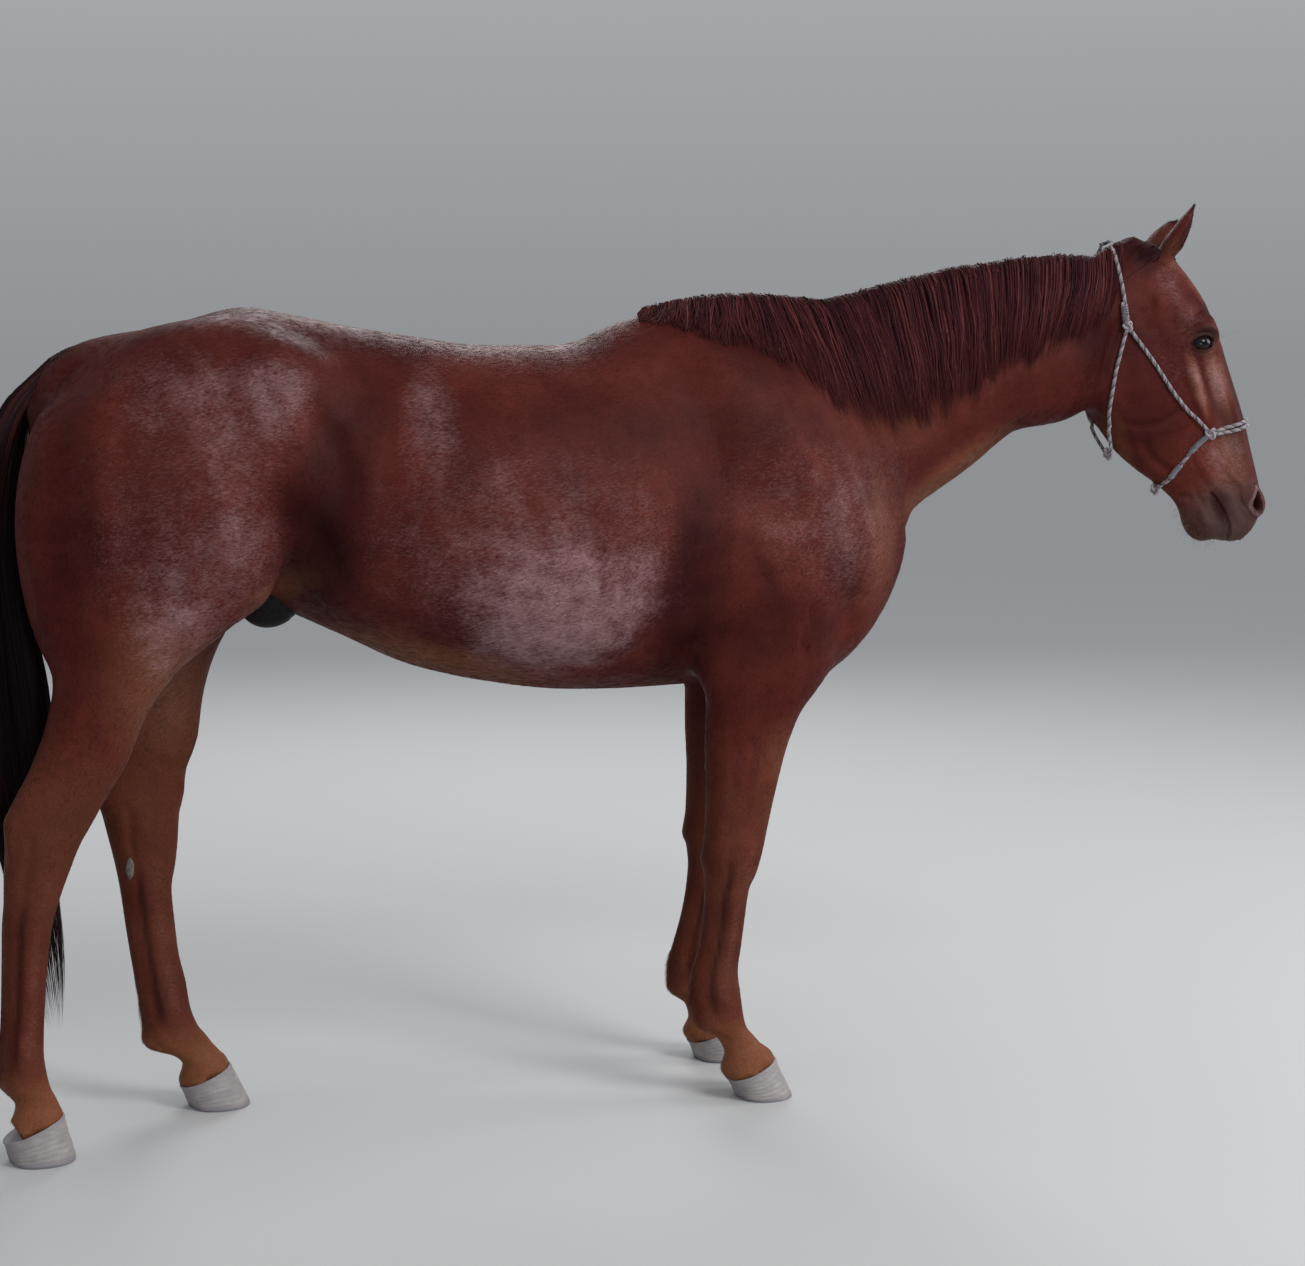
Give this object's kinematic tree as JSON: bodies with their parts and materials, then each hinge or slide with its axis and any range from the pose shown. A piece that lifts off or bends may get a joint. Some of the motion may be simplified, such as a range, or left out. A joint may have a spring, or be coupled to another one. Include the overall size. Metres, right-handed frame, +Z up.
{
  "type": "horse",
  "caption": "Standing life-size horse, chestnut with roan frosting, in a knotted rope halter; a still display model that rests on its own hooves.",
  "frame": {"origin": "middle of the horse's box on the floor, below the front of the barrel", "axes": "+X the way the horse faces, +Y to its left, +Z up"},
  "size_m": [2.5894, 0.6124, 1.7255],
  "materials": {
    "coat": "short sleek coat, chestnut with pale roan frosting",
    "mane_hair": "long hair, dark liver with redder strands",
    "tail_hair": "long near-black hair",
    "hoof": "pale horn with fine growth rings",
    "eye": "wet dark eye",
    "dark_skin": "bare dark skin",
    "rope": "twisted and braided cord, grey-white"
  },
  "bodies": {
    "root": {"trunk": "coat", "neck": "coat", "head": "coat", "foreleg_right": "coat", "foreleg_left": "coat", "hindleg_right": "coat", "hindleg_left": "coat", "fore_hoof_right": "hoof", "fore_hoof_left": "hoof", "hind_hoof_right": "hoof", "hind_hoof_left": "hoof", "eye_right": "eye", "eye_left": "eye", "ear_right": "coat", "ear_left": "coat", "sheath": "dark_skin", "mane": "mane_hair", "forelock": "mane_hair", "tail": "tail_hair", "halter_crown": "rope", "halter_noseband": "rope", "halter_noseband_lower": "rope", "halter_throat_right": "rope", "halter_chin_right": "rope", "halter_cheek_right": "rope", "halter_throat_left": "rope", "halter_chin_left": "rope", "halter_cheek_left": "rope", "halter_throat_knot": "rope", "halter_chin_knot": "rope", "halter_cheek_knot_right": "rope", "halter_nose_knot_right": "rope", "halter_cheek_knot_left": "rope", "halter_nose_knot_left": "rope"}
  },
  "joints": []
}
